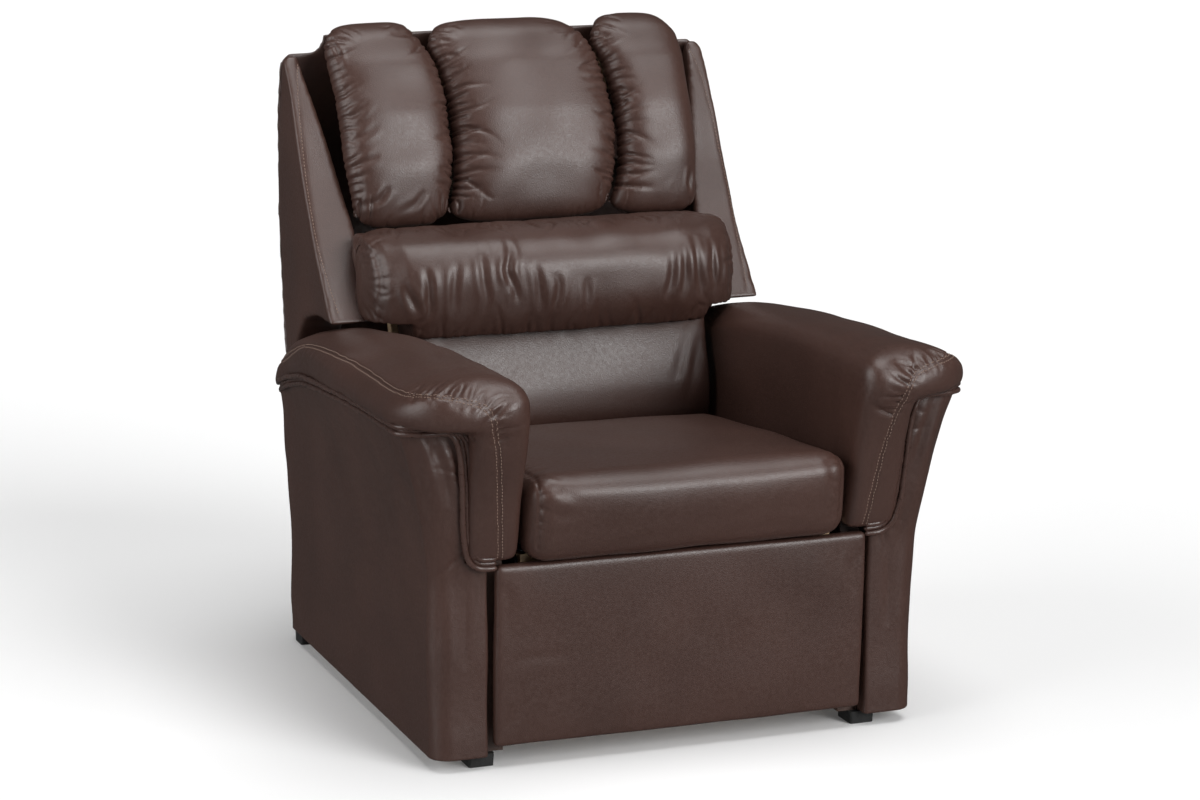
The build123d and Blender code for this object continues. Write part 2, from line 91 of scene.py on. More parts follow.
def bump(nt, height, strength, distance, under=None):
    b = nt.nodes.new("ShaderNodeBump")
    b.inputs["Strength"].default_value = strength
    b.inputs["Distance"].default_value = distance
    nt.links.new(height, b.inputs["Height"])
    if under is not None:
        nt.links.new(under, b.inputs["Normal"])
    return b.outputs["Normal"]


def leather(name, tone, rough, grain=1.0):
    """Satin synthetic leather: fine pebble grain over a soft relief, uneven tone and gloss."""
    m, nt, p, where = new_material(name)
    broad = noise_node(nt, where, 5.0, 2.0)
    mottle = noise_node(nt, where, 170.0, 4.0, 0.65)
    mix = nt.nodes.new("ShaderNodeMath")
    mix.operation = "ADD"
    nt.links.new(span(nt, broad.outputs[0], 0.0, 0.55), mix.inputs[0])
    nt.links.new(span(nt, mottle.outputs[0], 0.0, 0.45), mix.inputs[1])
    dark = [c * 0.80 for c in tone]
    light = [c * 1.22 for c in tone]
    nt.links.new(two_tone(nt, mix.outputs[0], dark, light), p.inputs["Base Color"])
    nt.links.new(span(nt, mottle.outputs[0], rough - 0.05, rough + 0.07), p.inputs["Roughness"])
    p.inputs["IOR"].default_value = 1.47
    p.inputs["Specular IOR Level"].default_value = 0.62
    cells = nt.nodes.new("ShaderNodeTexVoronoi")
    cells.feature = "F1"
    cells.inputs["Scale"].default_value = 620.0
    nt.links.new(where.outputs["Object"], cells.inputs["Vector"])
    soft = noise_node(nt, where, 38.0, 3.0)
    under = bump(nt, soft.outputs[0], 0.10, 0.0010)
    nt.links.new(bump(nt, cells.outputs["Distance"], 0.32 * grain, 0.0006, under), p.inputs["Normal"])
    return m


def plain(name, dark, light, rough, metallic=0.0, scale=40.0, squeeze=None):
    """Hard material with noise in its tone, gloss and relief."""
    m, nt, p, where = new_material(name)
    n = noise_node(nt, where, scale, 4.0, 0.6, squeeze)
    nt.links.new(two_tone(nt, span(nt, n.outputs[0], 0, 1), dark, light), p.inputs["Base Color"])
    nt.links.new(span(nt, n.outputs[0], rough - 0.06, rough + 0.08), p.inputs["Roughness"])
    p.inputs["Metallic"].default_value = metallic
    nt.links.new(bump(nt, n.outputs[0], 0.15, 0.0008), p.inputs["Normal"])
    return m


def woven(name, dark, light, pitch):
    """Cloth with crossed threads."""
    m, nt, p, where = new_material(name)
    height = None
    for axis in ("X", "Y"):
        w = nt.nodes.new("ShaderNodeTexWave")
        w.wave_type = "BANDS"
        w.bands_direction = axis
        w.inputs["Scale"].default_value = pitch
        w.inputs["Distortion"].default_value = 0.6
        nt.links.new(where.outputs["Object"], w.inputs["Vector"])
        if height is None:
            height = w.outputs["Fac"]
        else:
            both = nt.nodes.new("ShaderNodeMath")
            both.operation = "MULTIPLY"
            nt.links.new(height, both.inputs[0])
            nt.links.new(w.outputs["Fac"], both.inputs[1])
            height = both.outputs[0]
    nt.links.new(two_tone(nt, height, dark, light), p.inputs["Base Color"])
    n = noise_node(nt, where, 60.0)
    nt.links.new(span(nt, n.outputs[0], 0.80, 0.90), p.inputs["Roughness"])
    nt.links.new(bump(nt, height, 0.5, 0.0006), p.inputs["Normal"])
    return m


BROWN = (0.052, 0.0250, 0.0190)
hide = leather("cover_leather", BROWN, 0.37)
# welt: the cover leather with lower roughness; its base colour is painted a little lighter than the cover as
# a painted highlight
hide_welt_painted_highlight = leather("welt_leather", (0.056, 0.029, 0.023), 0.30, 0.8)
hide_flat = leather("cover_leather_flat", (0.060, 0.031, 0.0225), 0.44)
thread = plain("stitch_thread", (0.15, 0.095, 0.07), (0.27, 0.185, 0.145), 0.55, scale=900.0)
wood = plain("frame_wood", (0.42, 0.27, 0.15), (0.66, 0.48, 0.30), 0.62, scale=14.0, squeeze=(0.6, 6, 6))
plastic = plain("foot_plastic", (0.010, 0.010, 0.010), (0.022, 0.022, 0.022), 0.5, scale=500.0)
steel_paint = plain("mechanism_metal", (0.022, 0.022, 0.024), (0.040, 0.040, 0.043), 0.42, scale=260.0)
steel = plain("spring_steel", (0.34, 0.34, 0.35), (0.52, 0.52, 0.53), 0.34, metallic=1.0, scale=200.0)
deck = woven("deck_cloth", (0.05, 0.05, 0.05), (0.15, 0.15, 0.15), 420.0)
strap = woven("webbing", (0.11, 0.09, 0.07), (0.27, 0.23, 0.18), 260.0)

CAD_FINISH = {
    "hide_flat": ["arm_inner_panel_left", "arm_inner_panel_right", "base_rear_panel"],
    "plastic": [f"foot_{a}_{b}" for a in ("front", "rear") for b in ("left", "right")],
    "steel": ["seat_springs"],
    "deck": ["seat_deck"],
    "strap": ["back_webbing"],
}
FINISHES = {"hide_flat": (hide_flat, "cover_leather"), "plastic": (plastic, "foot_plastic"),
            "steel": (steel, "spring_steel"), "deck": (deck, "deck_cloth"), "strap": (strap, "webbing"),
            "wood": (wood, "frame_wood"), "paint": (steel_paint, "mechanism_metal")}
WOODEN = ("arm_frame", "base_rail", "seat_rail", "footrest_board", "back_post", "back_rails")
for node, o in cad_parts.items():
    found = [k for k, names in CAD_FINISH.items() if node in names]
    key = found[0] if found else ("wood" if node.startswith(WOODEN) else "paint")
    mat, slot_name = FINISHES[key]
    o.data.materials.clear()
    o.data.materials.append(mat)

# ------------------------------------------------------------------ mesh tools


def ease(x):
    x = np.clip(x, 0, 1)
    return x * x * (3 - 2 * x)


def unit(a):
    return a / np.maximum(np.linalg.norm(a, axis=-1, keepdims=True), 1e-12)


def ripple(P, seed, wavelength):
    """Smooth seeded unevenness, about -1 to 1, over points: a sum of plane waves."""
    n = 20
    rng = np.random.default_rng(seed)
    d = unit(rng.normal(size=(n, 3)))
    k = 2 * math.pi / wavelength * rng.uniform(0.6, 1.5, (n, 1))
    ph = rng.uniform(0, 2 * math.pi, n)
    return np.sin(P @ (d * k).T + ph).sum(1) / math.sqrt(n * 2)


class Line:
    """Smooth curve through points given in millimetres, sampled evenly."""

    def __init__(self, points, step=0.002, scale=0.001):
        P = np.array(points, float) * scale
        if len(P) > 2:
            Q = np.vstack([2 * P[0] - P[1], P, 2 * P[-1] - P[-2]])
            out = []
            for i in range(1, len(Q) - 2):
                a, b, c, d = Q[i - 1], Q[i], Q[i + 1], Q[i + 2]
                t = np.linspace(0, 1, 24, endpoint=False)[:, None]
                out.append(0.5 * (2 * b + (c - a) * t + (2 * a - 5 * b + 4 * c - d) * t ** 2
                                  + (3 * b - a - 3 * c + d) * t ** 3))
            P = np.vstack(out + [P[-1:]])
        self.resample(P, step)

    def resample(self, P, step):
        s = np.concatenate([[0], np.cumsum(np.linalg.norm(np.diff(P, axis=0), axis=1))])
        n = max(2, int(s[-1] / step) + 1)
        q = np.linspace(0, s[-1], n)
        self.P = np.stack([np.interp(q, s, P[:, k]) for k in range(P.shape[1])], 1)
        self.S = q
        self.T = unit(np.gradient(self.P, axis=0))

    def near(self, V, reach):
        """Distance to the line and place along it for each vertex within reach."""
        idx = np.nonzero(((V > self.P.min(0) - reach) & (V < self.P.max(0) + reach)).all(1))[0]
        keep, dist, along = [], [], []
        for c in range(0, len(idx), 16000):
            i = idx[c:c + 16000]
            d2 = ((V[i, None, :] - self.P[None]) ** 2).sum(2)
            j = d2.argmin(1)
            off = V[i] - self.P[j]
            t = (off * self.T[j]).sum(1)
            inside = (j > 0) & (j < len(self.P) - 1)
            t = np.where(inside, t, np.clip(t, -0.001, 0.001))
            d = np.linalg.norm(off - t[:, None] * self.T[j], axis=1)
            near = d < reach
            keep.append(i[near])
            dist.append(d[near])
            along.append(self.S[j[near]] + t[near])
        if not keep:
            return np.zeros(0, int), np.zeros(0), np.zeros(0)
        return np.concatenate(keep), np.concatenate(dist), np.concatenate(along)


class Skin:
    """Vertices and quads that seams, gathers and creases are worked into."""

    def __init__(self, V, F):
        self.V = np.asarray(V, float)
        self.F = np.asarray(F, int)
        e = np.vstack([self.F[:, [0, 1]], self.F[:, [1, 2]], self.F[:, [2, 3]], self.F[:, [3, 0]]])
        e = np.sort(e[e[:, 0] != e[:, 1]], axis=1)
        self.E = np.unique(e, axis=0)

    def normals(self):
        a, b, c, d = (self.V[self.F[:, k]] for k in range(4))
        fn = np.cross(c - a, d - b)
        N = np.zeros_like(self.V)
        for k in range(4):
            for x in range(3):
                N[:, x] += np.bincount(self.F[:, k], fn[:, x], len(self.V))
        return unit(N)

    def relax(self, times, factor=0.5, mask=None):
        """Draw each vertex towards the middle of its neighbours."""
        a, b = self.E[:, 0], self.E[:, 1]
        n = len(self.V)
        count = np.maximum(np.bincount(a, minlength=n) + np.bincount(b, minlength=n), 1)
        for _ in range(times):
            mean = np.stack([np.bincount(a, self.V[b, x], n) + np.bincount(b, self.V[a, x], n)
                             for x in range(3)], 1) / count[:, None]
            step = factor * (mean - self.V)
            self.V += step if mask is None else step * mask[:, None]
        return self

    def tree(self):
        return BVHTree.FromPolygons([tuple(v) for v in self.V],
                                    [tuple(dict.fromkeys(f)) for f in self.F.tolist()])

    def snap(self, line):
        """Lay a line on the surface."""
        tree = self.tree()
        P = np.array([tree.find_nearest(Vector(p))[0][:] for p in line.P])
        for _ in range(3):
            P[1:-1] = (P[:-2] + 2 * P[1:-1] + P[2:]) / 4
        line.resample(P, 0.002)
        return line

    def groove(self, line, depth, width, only=None):
        """Sink the skin along a seam."""
        i, d, s = line.near(self.V, width * 3)
        N = self.normals()
        w = np.exp(-(d / width) ** 2)
        if only is not None:
            w = w * only(self.V[i])
        self.V[i] -= N[i] * (depth * w)[:, None]
        return self

    def gather(self, line, pitch, depth, reach, seed, width=0.0028, slant=0.25, only=None, hold=0.0,
               start=0.0, stop=9.0, side=0):
        """Valleys that run away from a seam, of uneven length, depth and spacing.
        hold is how far they keep their full depth, side picks one side of the seam."""
        rng = np.random.default_rng(seed)
        total = line.S[-1]
        centres, at = [], max(start, 0) + pitch * rng.uniform(0.2, 0.8)
        while at < min(stop, total):
            centres.append(at)
            at += pitch * rng.uniform(0.62, 1.45)
        i, d, s = line.near(self.V, hold + reach * 1.5)
        if not len(i) or not centres:
            return self
        fade_end = ease(np.minimum(s - start, min(stop, total) - s) / (1.2 * pitch) + 0.4)
        N = self.normals()[i]
        push = np.zeros(len(i))
        seam_depth = ease(d / (0.15 * reach))
        d = np.maximum(d - hold, 0)
        for c in centres:
            long = reach * rng.uniform(0.35, 1.25)
            deep = depth * rng.uniform(0.45, 1.2) * (0.6 + 0.5 * long / reach)
            lean = slant * rng.normal()
            bow = rng.normal() * 4.0
            wide = width * rng.uniform(0.75, 1.3)
            x = np.abs(s - c - lean * d - bow * d * d) / (wide * (0.75 + 0.9 * d / max(long, 1e-6)))
            push -= deep * np.exp(-x ** 1.35) * (1 - ease(d / long)) * (0.55 + 0.45 * seam_depth)
        push *= fade_end
        if side:
            k = np.clip(np.searchsorted(line.S, s), 0, len(line.P) - 1)
            across = (np.cross(line.T[k], N) * (self.V[i] - line.P[k])).sum(1)
            push *= ease(side * across / 0.003 + 0.3)
        if only is not None:
            push *= only(self.V[i])
        self.V[i] += N * push[:, None]
        return self

    def crease(self, points, depth, width, ridge=0.35):
        """One soft valley along a short line, fading at both ends, with a slight ridge beside it."""
        line = Line(points, 0.003)
        i, d, s = line.near(self.V, width * 5)
        u = s / line.S[-1]
        w = np.sin(math.pi * np.clip(u, 0, 1)) ** 0.8
        N = self.normals()[i]
        x = d / width
        profile = -np.exp(-x ** 1.5) + ridge * np.exp(-((x - 2.2) / 1.1) ** 2)
        self.V[i] += N * (w * depth * profile)[:, None]
        return self

    def swell(self, seed, amount, wavelength, only=None):
        """Broad unevenness of stuffed cloth."""
        w = ripple(self.V, seed, wavelength) * amount
        if only is not None:
            w = w * only(self.V)
        self.V += self.normals() * w[:, None]
        return self

    def mirrored(self):
        V = self.V.copy()
        V[:, 0] *= -1
        return Skin(V, self.F[:, ::-1])


def emit(name, skin, mat, body, replaces=(), extra=0, thick=None):
    """Make the piece an object that rides on its body.
    extra is the levels of subdivision, thick gives an open skin an inner side."""
    me = bpy.data.meshes.new(name)
    faces = [tuple(dict.fromkeys(f)) for f in skin.F.tolist()]
    me.from_pydata([tuple(v) for v in skin.V], [], [f for f in faces if len(f) > 2])
    me.validate()
    me.polygons.foreach_set("use_smooth", [True] * len(me.polygons))
    me.materials.append(mat)
    o = bpy.data.objects.new(name, me)
    scene.collection.objects.link(o)
    if thick:
        s = o.modifiers.new("thickness", "SOLIDIFY")
        s.thickness = thick
        s.offset = -1
        dg = bpy.context.evaluated_depsgraph_get()
        solid = bpy.data.meshes.new_from_object(o.evaluated_get(dg))
        o.modifiers.clear()
        o.data = solid
    if extra:
        s = o.modifiers.new("finer", "SUBSURF")
        s.levels = extra
        s.render_levels = extra
    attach(o, body)
    if replaces:
        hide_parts(*replaces)
    return o


def rings_skin(R):
    """Closed skin from rings of equal point counts, capped at both ends: R is (rings, points, 3)."""
    n, m = R.shape[:2]
    V = R.reshape(-1, 3)
    i, j = np.meshgrid(np.arange(n - 1), np.arange(m), indexing="ij")
    j2 = (j + 1) % m
    F = np.stack([i * m + j, i * m + j2, (i + 1) * m + j2, (i + 1) * m + j], -1).reshape(-1, 4)
    for end, base in ((0, 0), (1, (n - 1) * m)):
        centre = len(V)
        V = np.vstack([V, V[base:base + m].mean(0)])
        j = np.arange(m)
        a, b = base + j, base + (j + 1) % m
        tri = np.stack([b, a, np.full(m, centre), np.full(m, centre)], -1)
        F = np.vstack([F, tri if end == 0 else tri[:, [1, 0, 2, 3]]])
    return Skin(V, F)


def box_skin(half, radius, step):
    """Rounded box centred on the origin, with even quads."""
    half = np.array(half, float)
    count = np.maximum((2 * half / step).astype(int), 4)
    parts, faces, base = [], [], 0
    for axis in range(3):
        u, v = [k for k in range(3) if k != axis]
        for side in (-1, 1):
            a = np.linspace(-half[u], half[u], count[u] + 1)
            b = np.linspace(-half[v], half[v], count[v] + 1)
            A, B = np.meshgrid(a, b, indexing="ij")
            P = np.zeros(A.shape + (3,))
            P[..., u], P[..., v], P[..., axis] = A, B, side * half[axis]
            i, j = np.meshgrid(np.arange(count[u]), np.arange(count[v]), indexing="ij")
            w = count[v] + 1
            q = np.stack([i * w + j, (i + 1) * w + j, (i + 1) * w + j + 1, i * w + j + 1], -1)
            q = q.reshape(-1, 4)
            flip = (side < 0) != (axis == 1)
            faces.append((q[:, ::-1] if flip else q) + base)
            parts.append(P.reshape(-1, 3))
            base += len(parts[-1])
    V, F = np.vstack(parts), np.vstack(faces)
    key = np.round(V * 1e6).astype(np.int64)
    _, first, back = np.unique(key, axis=0, return_index=True, return_inverse=True)
    V, F = V[first], back.reshape(-1)[F]
    core = np.clip(V, -(half - radius), half - radius)
    return Skin(core + unit(V - core) * radius, F)


def cad_skin(node, voxel, relax_times):
    """Even copy of a CAD node's surface with softened edges."""
    o = bpy.data.objects.new("copy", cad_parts[node].data.copy())
    scene.collection.objects.link(o)
    m = o.modifiers.new("even", "REMESH")
    m.mode = "VOXEL"
    m.voxel_size = voxel
    dg = bpy.context.evaluated_depsgraph_get()
    me = bpy.data.meshes.new_from_object(o.evaluated_get(dg))
    V = np.array([v.co[:] for v in me.vertices])
    F = np.array([tuple(p.vertices) if len(p.vertices) == 4 else (*p.vertices, p.vertices[-1])
                  for p in me.polygons])
    bpy.data.objects.remove(o)
    bpy.data.meshes.remove(me)
    return Skin(V, F).relax(relax_times)


def tube(line, radius, sides=10, seed=0, wobble=0.08):
    """Cord with rounded ends along a line."""
    n = len(line.P)
    up = np.array([0.0, 0.0, 1.0])
    T = line.T
    A = unit(np.cross(T, up) + np.cross(T, [1e-3, 1e-3, 0]))
    for i in range(1, n):
        a = A[i - 1] - (A[i - 1] @ T[i]) * T[i]
        A[i] = a / np.linalg.norm(a)
    B = np.cross(T, A)
    end = np.minimum(line.S, line.S[-1] - line.S) / radius
    r = radius * np.sqrt(np.clip(1 - (1 - np.clip(end, 0, 1)) ** 2, 0.02, 1))
    r = r * (1 + wobble * ripple(line.P, seed, 0.02))
    ang = np.linspace(0, 2 * math.pi, sides, endpoint=False)
    R = (line.P[:, None] + r[:, None, None] * (np.cos(ang)[None, :, None] * A[:, None]
                                               + np.sin(ang)[None, :, None] * B[:, None]))
    return rings_skin(R)


def joined(skins):
    V, F, base = [], [], 0
    for s in skins:
        V.append(s.V)
        F.append(s.F + base)
        base += len(s.V)
    return Skin(np.vstack(V), np.vstack(F))


def stitches(line, tree, pitch=0.0056, length=0.0037, radius=0.00062, sideways=0.0, lift=0.0002):
    """Row of thread stitches laid on a surface along a line."""
    parts = []
    count = int(line.S[-1] / pitch)
    for k in range(count):
        s = (k + 0.5) * pitch
        c = np.array([np.interp(s, line.S, line.P[:, a]) for a in range(3)])
        t = unit(np.array([np.interp(s, line.S, line.T[:, a]) for a in range(3)]))
        hit, normal, _, _ = tree.find_nearest(Vector(c))
        n = np.array(normal[:])
        b = unit(np.cross(n, t))
        if sideways:
            hit, normal, _, _ = tree.find_nearest(Vector(c + b * sideways))
            n = np.array(normal[:])
            b = unit(np.cross(n, t))
        t = np.cross(b, n)
        c = np.array(hit[:]) + n * lift
        ring = []
        for u, w, sink in ((-0.5, 0.45, -0.9), (-0.3, 1, 0), (0.3, 1, 0), (0.5, 0.45, -0.9)):
            ang = np.arange(6) * math.pi / 3
            ring.append(c + t * u * length + n * sink * radius
                        + radius * w * (np.cos(ang)[:, None] * b + np.sin(ang)[:, None] * n))
        parts.append(rings_skin(np.array(ring)))
    return joined(parts)


# ------------------------------------------------------------------ upper back cushions
# Side view of their sewn edge, from the bottom seam up over the top to the rear.
SIDE_PATH = [(312, 731), (287, 744), (300, 810), (338, 900), (380, 995), (398, 1035), (428, 1055),
             (455, 1040), (461, 1004)]


LOBE_STEP = 0.0022
LOBE_SINK = -0.020


def lobe(outer, inner, crown):
    """Stuffed upper cushion: its side view follows the back's slope and rolls over the top.
    outer and inner give X of its two edges, crown its fullness, against length along the side view."""
    path = Line([(0, y, z) for y, z in SIDE_PATH], LOBE_STEP)
    t = path.S * 1000
    xa = np.interp(t, *zip(*outer)) * 0.001
    xb = np.interp(t, *zip(*inner)) * 0.001
    full = np.interp(t, *zip(*crown)) * 0.001
    for a in (xa, xb, full):
        for _ in range(14):
            a[1:-1] = (a[:-2] + 2 * a[1:-1] + a[2:]) / 4
    N = np.stack([np.zeros(len(t)), -path.T[:, 2], path.T[:, 1]], 1)
    back = np.interp(t, [0, 300, 340, 440], [-0.040, -0.040, -0.024, -0.022])
    width = np.abs(xb - xa).mean() + 0.08
    m = int(width / LOBE_STEP)
    th = np.linspace(0, math.pi, m)
    cx = np.sign(np.cos(th)) * np.abs(np.cos(th)) ** 0.62
    sy = np.sin(th) ** 0.80
    mid, half = (xa + xb) / 2, (xb - xa) / 2
    X = mid[:, None] + half[:, None] * cx[None]
    D = LOBE_SINK + (full[:, None] - LOBE_SINK) * sy[None]
    front = path.P[:, None] + N[:, None] * D[..., None]
    front[..., 0] = X
    k = np.linspace(0, 1, 10)[1:-1]
    rear = path.P[:, None] + N[:, None] * back[:, None, None] * np.ones((1, len(k), 1))
    rear[..., 0] = X[:, -1:] * (1 - k) + X[:, :1] * k
    skin = rings_skin(np.concatenate([front, rear], 1))
    if skin.normals()[m // 2 + (len(t) // 2) * (m + len(k))][1] > 0:
        skin.F = skin.F[:, ::-1]
    sunk = path.P + N * LOBE_SINK
    edges = [Line(np.column_stack([a, sunk[:, 1:]]), 0.002, 1.0) for a in (xa, xb)]
    return skin, *edges


CROWN = [(0, 2), (14, 9), (40, 19), (110, 29), (200, 32), (290, 25), (335, 12), (372, 3), (440, -2)]
left_skin, left_a, left_b = lobe(
    [(0, -280), (14, -297), (30, -304), (90, -311), (185, -313), (255, -314), (300, -319), (335, -322),
     (362, -314), (400, -300), (440, -290)],
    [(0, -170), (12, -156), (30, -143), (80, -129), (150, -121), (220, -121), (290, -131), (325, -143),
     (350, -156), (372, -166), (440, -172)], CROWN)
centre_skin, centre_a, centre_b = lobe(
    [(0, -126), (12, -134), (30, -140), (80, -127), (150, -119), (220, -119), (290, -129), (325, -140),
     (350, -136), (372, -124), (440, -118)],
    [(0, 126), (12, 137), (30, 146), (80, 164), (150, 175), (220, 176), (290, 165), (325, 150),
     (350, 136), (372, 122), (440, 116)], CROWN)
right_skin, right_a, _ = lobe(
    [(0, 166), (12, 158), (30, 150), (80, 167), (150, 178), (220, 179), (290, 168), (325, 154),
     (350, 160), (372, 170), (440, 176)],
    [(0, 290), (14, 304), (30, 309), (90, 314), (185, 318), (255, 318), (300, 318), (335, 314),
     (362, 302), (400, 288), (440, 278)], CROWN)


def front_only(V):
    return ease((0.455 - V[:, 1]) / 0.02)


for skin, edge, seed, depth, reach in (
        (left_skin, left_b, 11, 0.0044, 0.036), (centre_skin, centre_a, 12, 0.0050, 0.058),
        (centre_skin, centre_b, 13, 0.0044, 0.046), (right_skin, right_a, 14, 0.0050, 0.050),
        (left_skin, left_a, 15, 0.0034, 0.036)):
    skin.gather(edge, 0.0145, depth, reach, seed, width=0.0032, slant=0.22, only=front_only,
                start=0.02, stop=0.37, hold=0.030)
    skin.gather(edge, 0.0095, depth * 0.5, reach * 0.6, seed + 50, width=0.0022, slant=0.3,
                only=front_only, start=0.02, stop=0.36, hold=0.028)
# puckers along the bottom seams, then the single folds
for skin, pts, pitch, depth, reach, seed in (
        (left_skin, [(-296, 292, 742), (-225, 284, 740), (-158, 286, 742)], 0.021, 0.0040, 0.042, 21),
        (centre_skin, [(-132, 284, 742), (0, 282, 740), (130, 284, 742)], 0.016, 0.0016, 0.022, 22),
        (right_skin, [(158, 286, 742), (240, 284, 740), (300, 292, 742)], 0.024, 0.0026, 0.034, 23)):
    skin.gather(Line(pts), pitch, depth, reach, seed)
for pts, deep, wide in (
        ([(-306, 330, 905), (-284, 318, 925), (-262, 318, 948)], 0.0034, 0.005),
        ([(-308, 316, 868), (-286, 300, 884), (-258, 300, 900)], 0.0030, 0.005),
        ([(-306, 304, 830), (-284, 288, 842), (-262, 285, 852)], 0.0024, 0.005),
        ([(-300, 292, 766), (-270, 272, 776), (-250, 270, 800)], 0.0036, 0.005),
        ([(-235, 270, 752), (-205, 266, 768), (-188, 268, 790)], 0.0030, 0.005),
        ([(-302, 372, 1046), (-306, 366, 1015), (-309, 360, 985)], 0.0048, 0.0045),
        ([(-318, 396, 1034), (-309, 384, 1022), (-303, 372, 1002)], 0.0034, 0.0035)):
    left_skin.crease(pts, deep, wide)
for pts, deep, wide in (
        ([(292, 292, 748), (291, 278, 775), (294, 284, 805)], 0.0050, 0.0045),
        ([(300, 300, 800), (302, 330, 880), (304, 362, 960)], 0.0022, 0.006),
        ([(236, 262, 752), (240, 262, 772), (246, 266, 792)], 0.0022, 0.005)):
    right_skin.crease(pts, deep, wide)
for skin, place, seed in ((left_skin, "left", 31), (centre_skin, "centre", 32), (right_skin, "right", 33)):
    skin.swell(seed, 0.0016, 0.11, front_only)
    skin.relax(1, 0.35)
    emit(f"visual_back_cushion_{place}", skin, hide, "back",
         [f"back_cushion_{place}"])

# ------------------------------------------------------------------ lumbar roll
# Side view of the roll as (Y, Z), all round.
LUMBAR_SECTION = [(236, 734), (170, 734), (118, 722), (88, 690), (79, 648), (84, 602), (104, 568), (122, 592),
                  (160, 598), (215, 650), (258, 694), (276, 718), (264, 731), (236, 734)]
LUMBAR_END, LUMBAR_CAP = 0.318, 0.010
ARM_CLEAR_Z = 0.5945
section = Line([(0, y, z) for y, z in LUMBAR_SECTION], 0.0028).P[:-1]
cap = np.linspace(LUMBAR_END, LUMBAR_END + LUMBAR_CAP, 7)[1:]
xs = np.concatenate([-cap[::-1], np.arange(-LUMBAR_END, LUMBAR_END + 0.0001, 0.0027), cap])
centre = np.array([0, 0.168, 0.664])
rings = []
for x in xs:
    a = abs(x)
    set_back = np.interp(a, [0, 0.12, 0.21, 0.27, 0.30, 0.318, 0.328],
                         [0, 0.002, 0.008, 0.020, 0.034, 0.052, 0.070])
    end = 1 - 0.08 * ease((a - 0.26) / 0.06) - 0.30 * ease((a - 0.316) / 0.012)
    P = centre + (section - centre) * [1, end, end]
    P[:, 2] += np.where(P[:, 2] < ARM_CLEAR_Z, (ARM_CLEAR_Z - P[:, 2]) * ease((a - 0.256) / 0.010), 0)
    P[:, 1] += set_back * ease((0.250 - section[:, 1]) / 0.13)
    P[:, 0] = x
    rings.append(P)
lumbar = rings_skin(np.array(rings))
if (lumbar.normals() * (lumbar.V - centre)).sum() < 0:
    lumbar.F = lumbar.F[:, ::-1]
top_seam = Line([(-316, 236, 724), (-200, 206, 731), (0, 200, 732), (200, 206, 731), (316, 236, 724)])
low_seam = Line([(-312, 150, 606), (-262, 116, 592), (-240, 110, 574), (0, 104, 569), (240, 110, 574),
                 (262, 116, 592), (312, 150, 606)])
lumbar.gather(top_seam, 0.017, 0.0036, 0.075, 41, width=0.0036, slant=0.30)
lumbar.gather(top_seam, 0.010, 0.0018, 0.035, 42, width=0.0022)
lumbar.gather(low_seam, 0.018, 0.0034, 0.060, 43, width=0.0036, slant=0.25)
lumbar.gather(low_seam, 0.011, 0.0016, 0.028, 44, width=0.0022)
for sign, seed in ((-1, 45), (1, 46)):
    end_line = Line([(sign * 315, y, z)
                     for y, z in ((236, 712), (160, 708), (128, 670), (134, 630), (170, 602))])
    lumbar.snap(end_line)
    lumbar.gather(end_line, 0.013, 0.0032, 0.045, seed, width=0.0028, slant=0.3)
    lumbar.groove(end_line, 0.0030, 0.0030)
rng = np.random.default_rng(47)
# upright folds across its front
for x, span_z, deep in ((-262, (602, 668), .0046), (-236, (598, 690), .0044), (-205, (600, 700), .0030),
                        (-150, (604, 722), .0030), (-118, (640, 726), .0036), (-96, (620, 700), .0036),
                        (-52, (598, 690), .0026), (-20, (600, 672), .0030), (22, (602, 660), .0022),
                        (180, (600, 690), .0026), (216, (598, 700), .0040), (246, (600, 712), .0044),
                        (270, (606, 706), .0044), (290, (612, 700), .0038)):
    side = (abs(x) / 300) ** 3 * 26
    zs = np.linspace(span_z[0], span_z[1], 5)
    bend = rng.normal(0, 4, 5).cumsum() - x * 0.02
    ys = np.interp(zs, [588, 604, 640, 680, 716, 732], [118, 92, 80, 84, 112, 170]) + side
    lumbar.crease([(x + b, y, z) for b, y, z in zip(bend, ys, zs)], deep, 0.0056, 0.5)
lumbar.swell(48, 0.0018, 0.10).relax(1, 0.35)
emit("visual_lumbar_cushion", lumbar, hide, "back", ["lumbar_cushion"])

# ------------------------------------------------------------------ lower back panel
lower = cad_skin("lower_back_panel", 0.005, 14)
lower.swell(51, 0.0016, 0.16, lambda V: ease((0.16 - V[:, 1]) / 0.05))
for x0, x1, z0, z1 in ((196, 240, 470, 585), (214, 250, 430, 560), (-236, -214, 520, 588)):
    lower.crease([(x0, 98, z0), ((x0 + x1) / 2, 104, (z0 + z1) / 2), (x1, 114, z1)], 0.0028, 0.008)
lower.gather(Line([(-250, 116, 588), (0, 114, 588), (250, 116, 588)]), 0.030, 0.0022, 0.040, 52, width=0.005)
emit("visual_lower_back_panel", lower, hide, "back", ["lower_back_panel"], extra=1)

# ------------------------------------------------------------------ seat cushion
SEAT_HALF = (0.260, 0.279, 0.070)
SEAT_Y = -0.191
seat = box_skin(SEAT_HALF, 0.036, 0.0045)
hx, hy, hz = SEAT_HALF
x, y, z = seat.V[:, 0] / hx, seat.V[:, 1] / hy, seat.V[:, 2] / hz
crown = (1 - np.abs(x) ** 3.2) * (1 - np.abs(y) ** 3.0)
side_face = 1 - z ** 2
seat.V[:, 2] += np.where(z > 0, 0.014 * crown * ease(z * 1.5), 0)
seat.V[:, 1] += -0.015 * np.where(y < -0.8, side_face * (1 - np.abs(x) ** 4), 0) * ease((-y - 0.8) * 6)
seat.V[:, 0] += 0.0065 * np.sign(x) * side_face * ease((np.abs(x) - 0.8) * 6) * (1 - y ** 2)
along = np.clip((seat.V[:, 1] + hy) / (2 * hy), 0, 1)
top_z = 0.462 - 0.046 * along ** 1.05
low_z = 0.3395 - 0.0410 * along
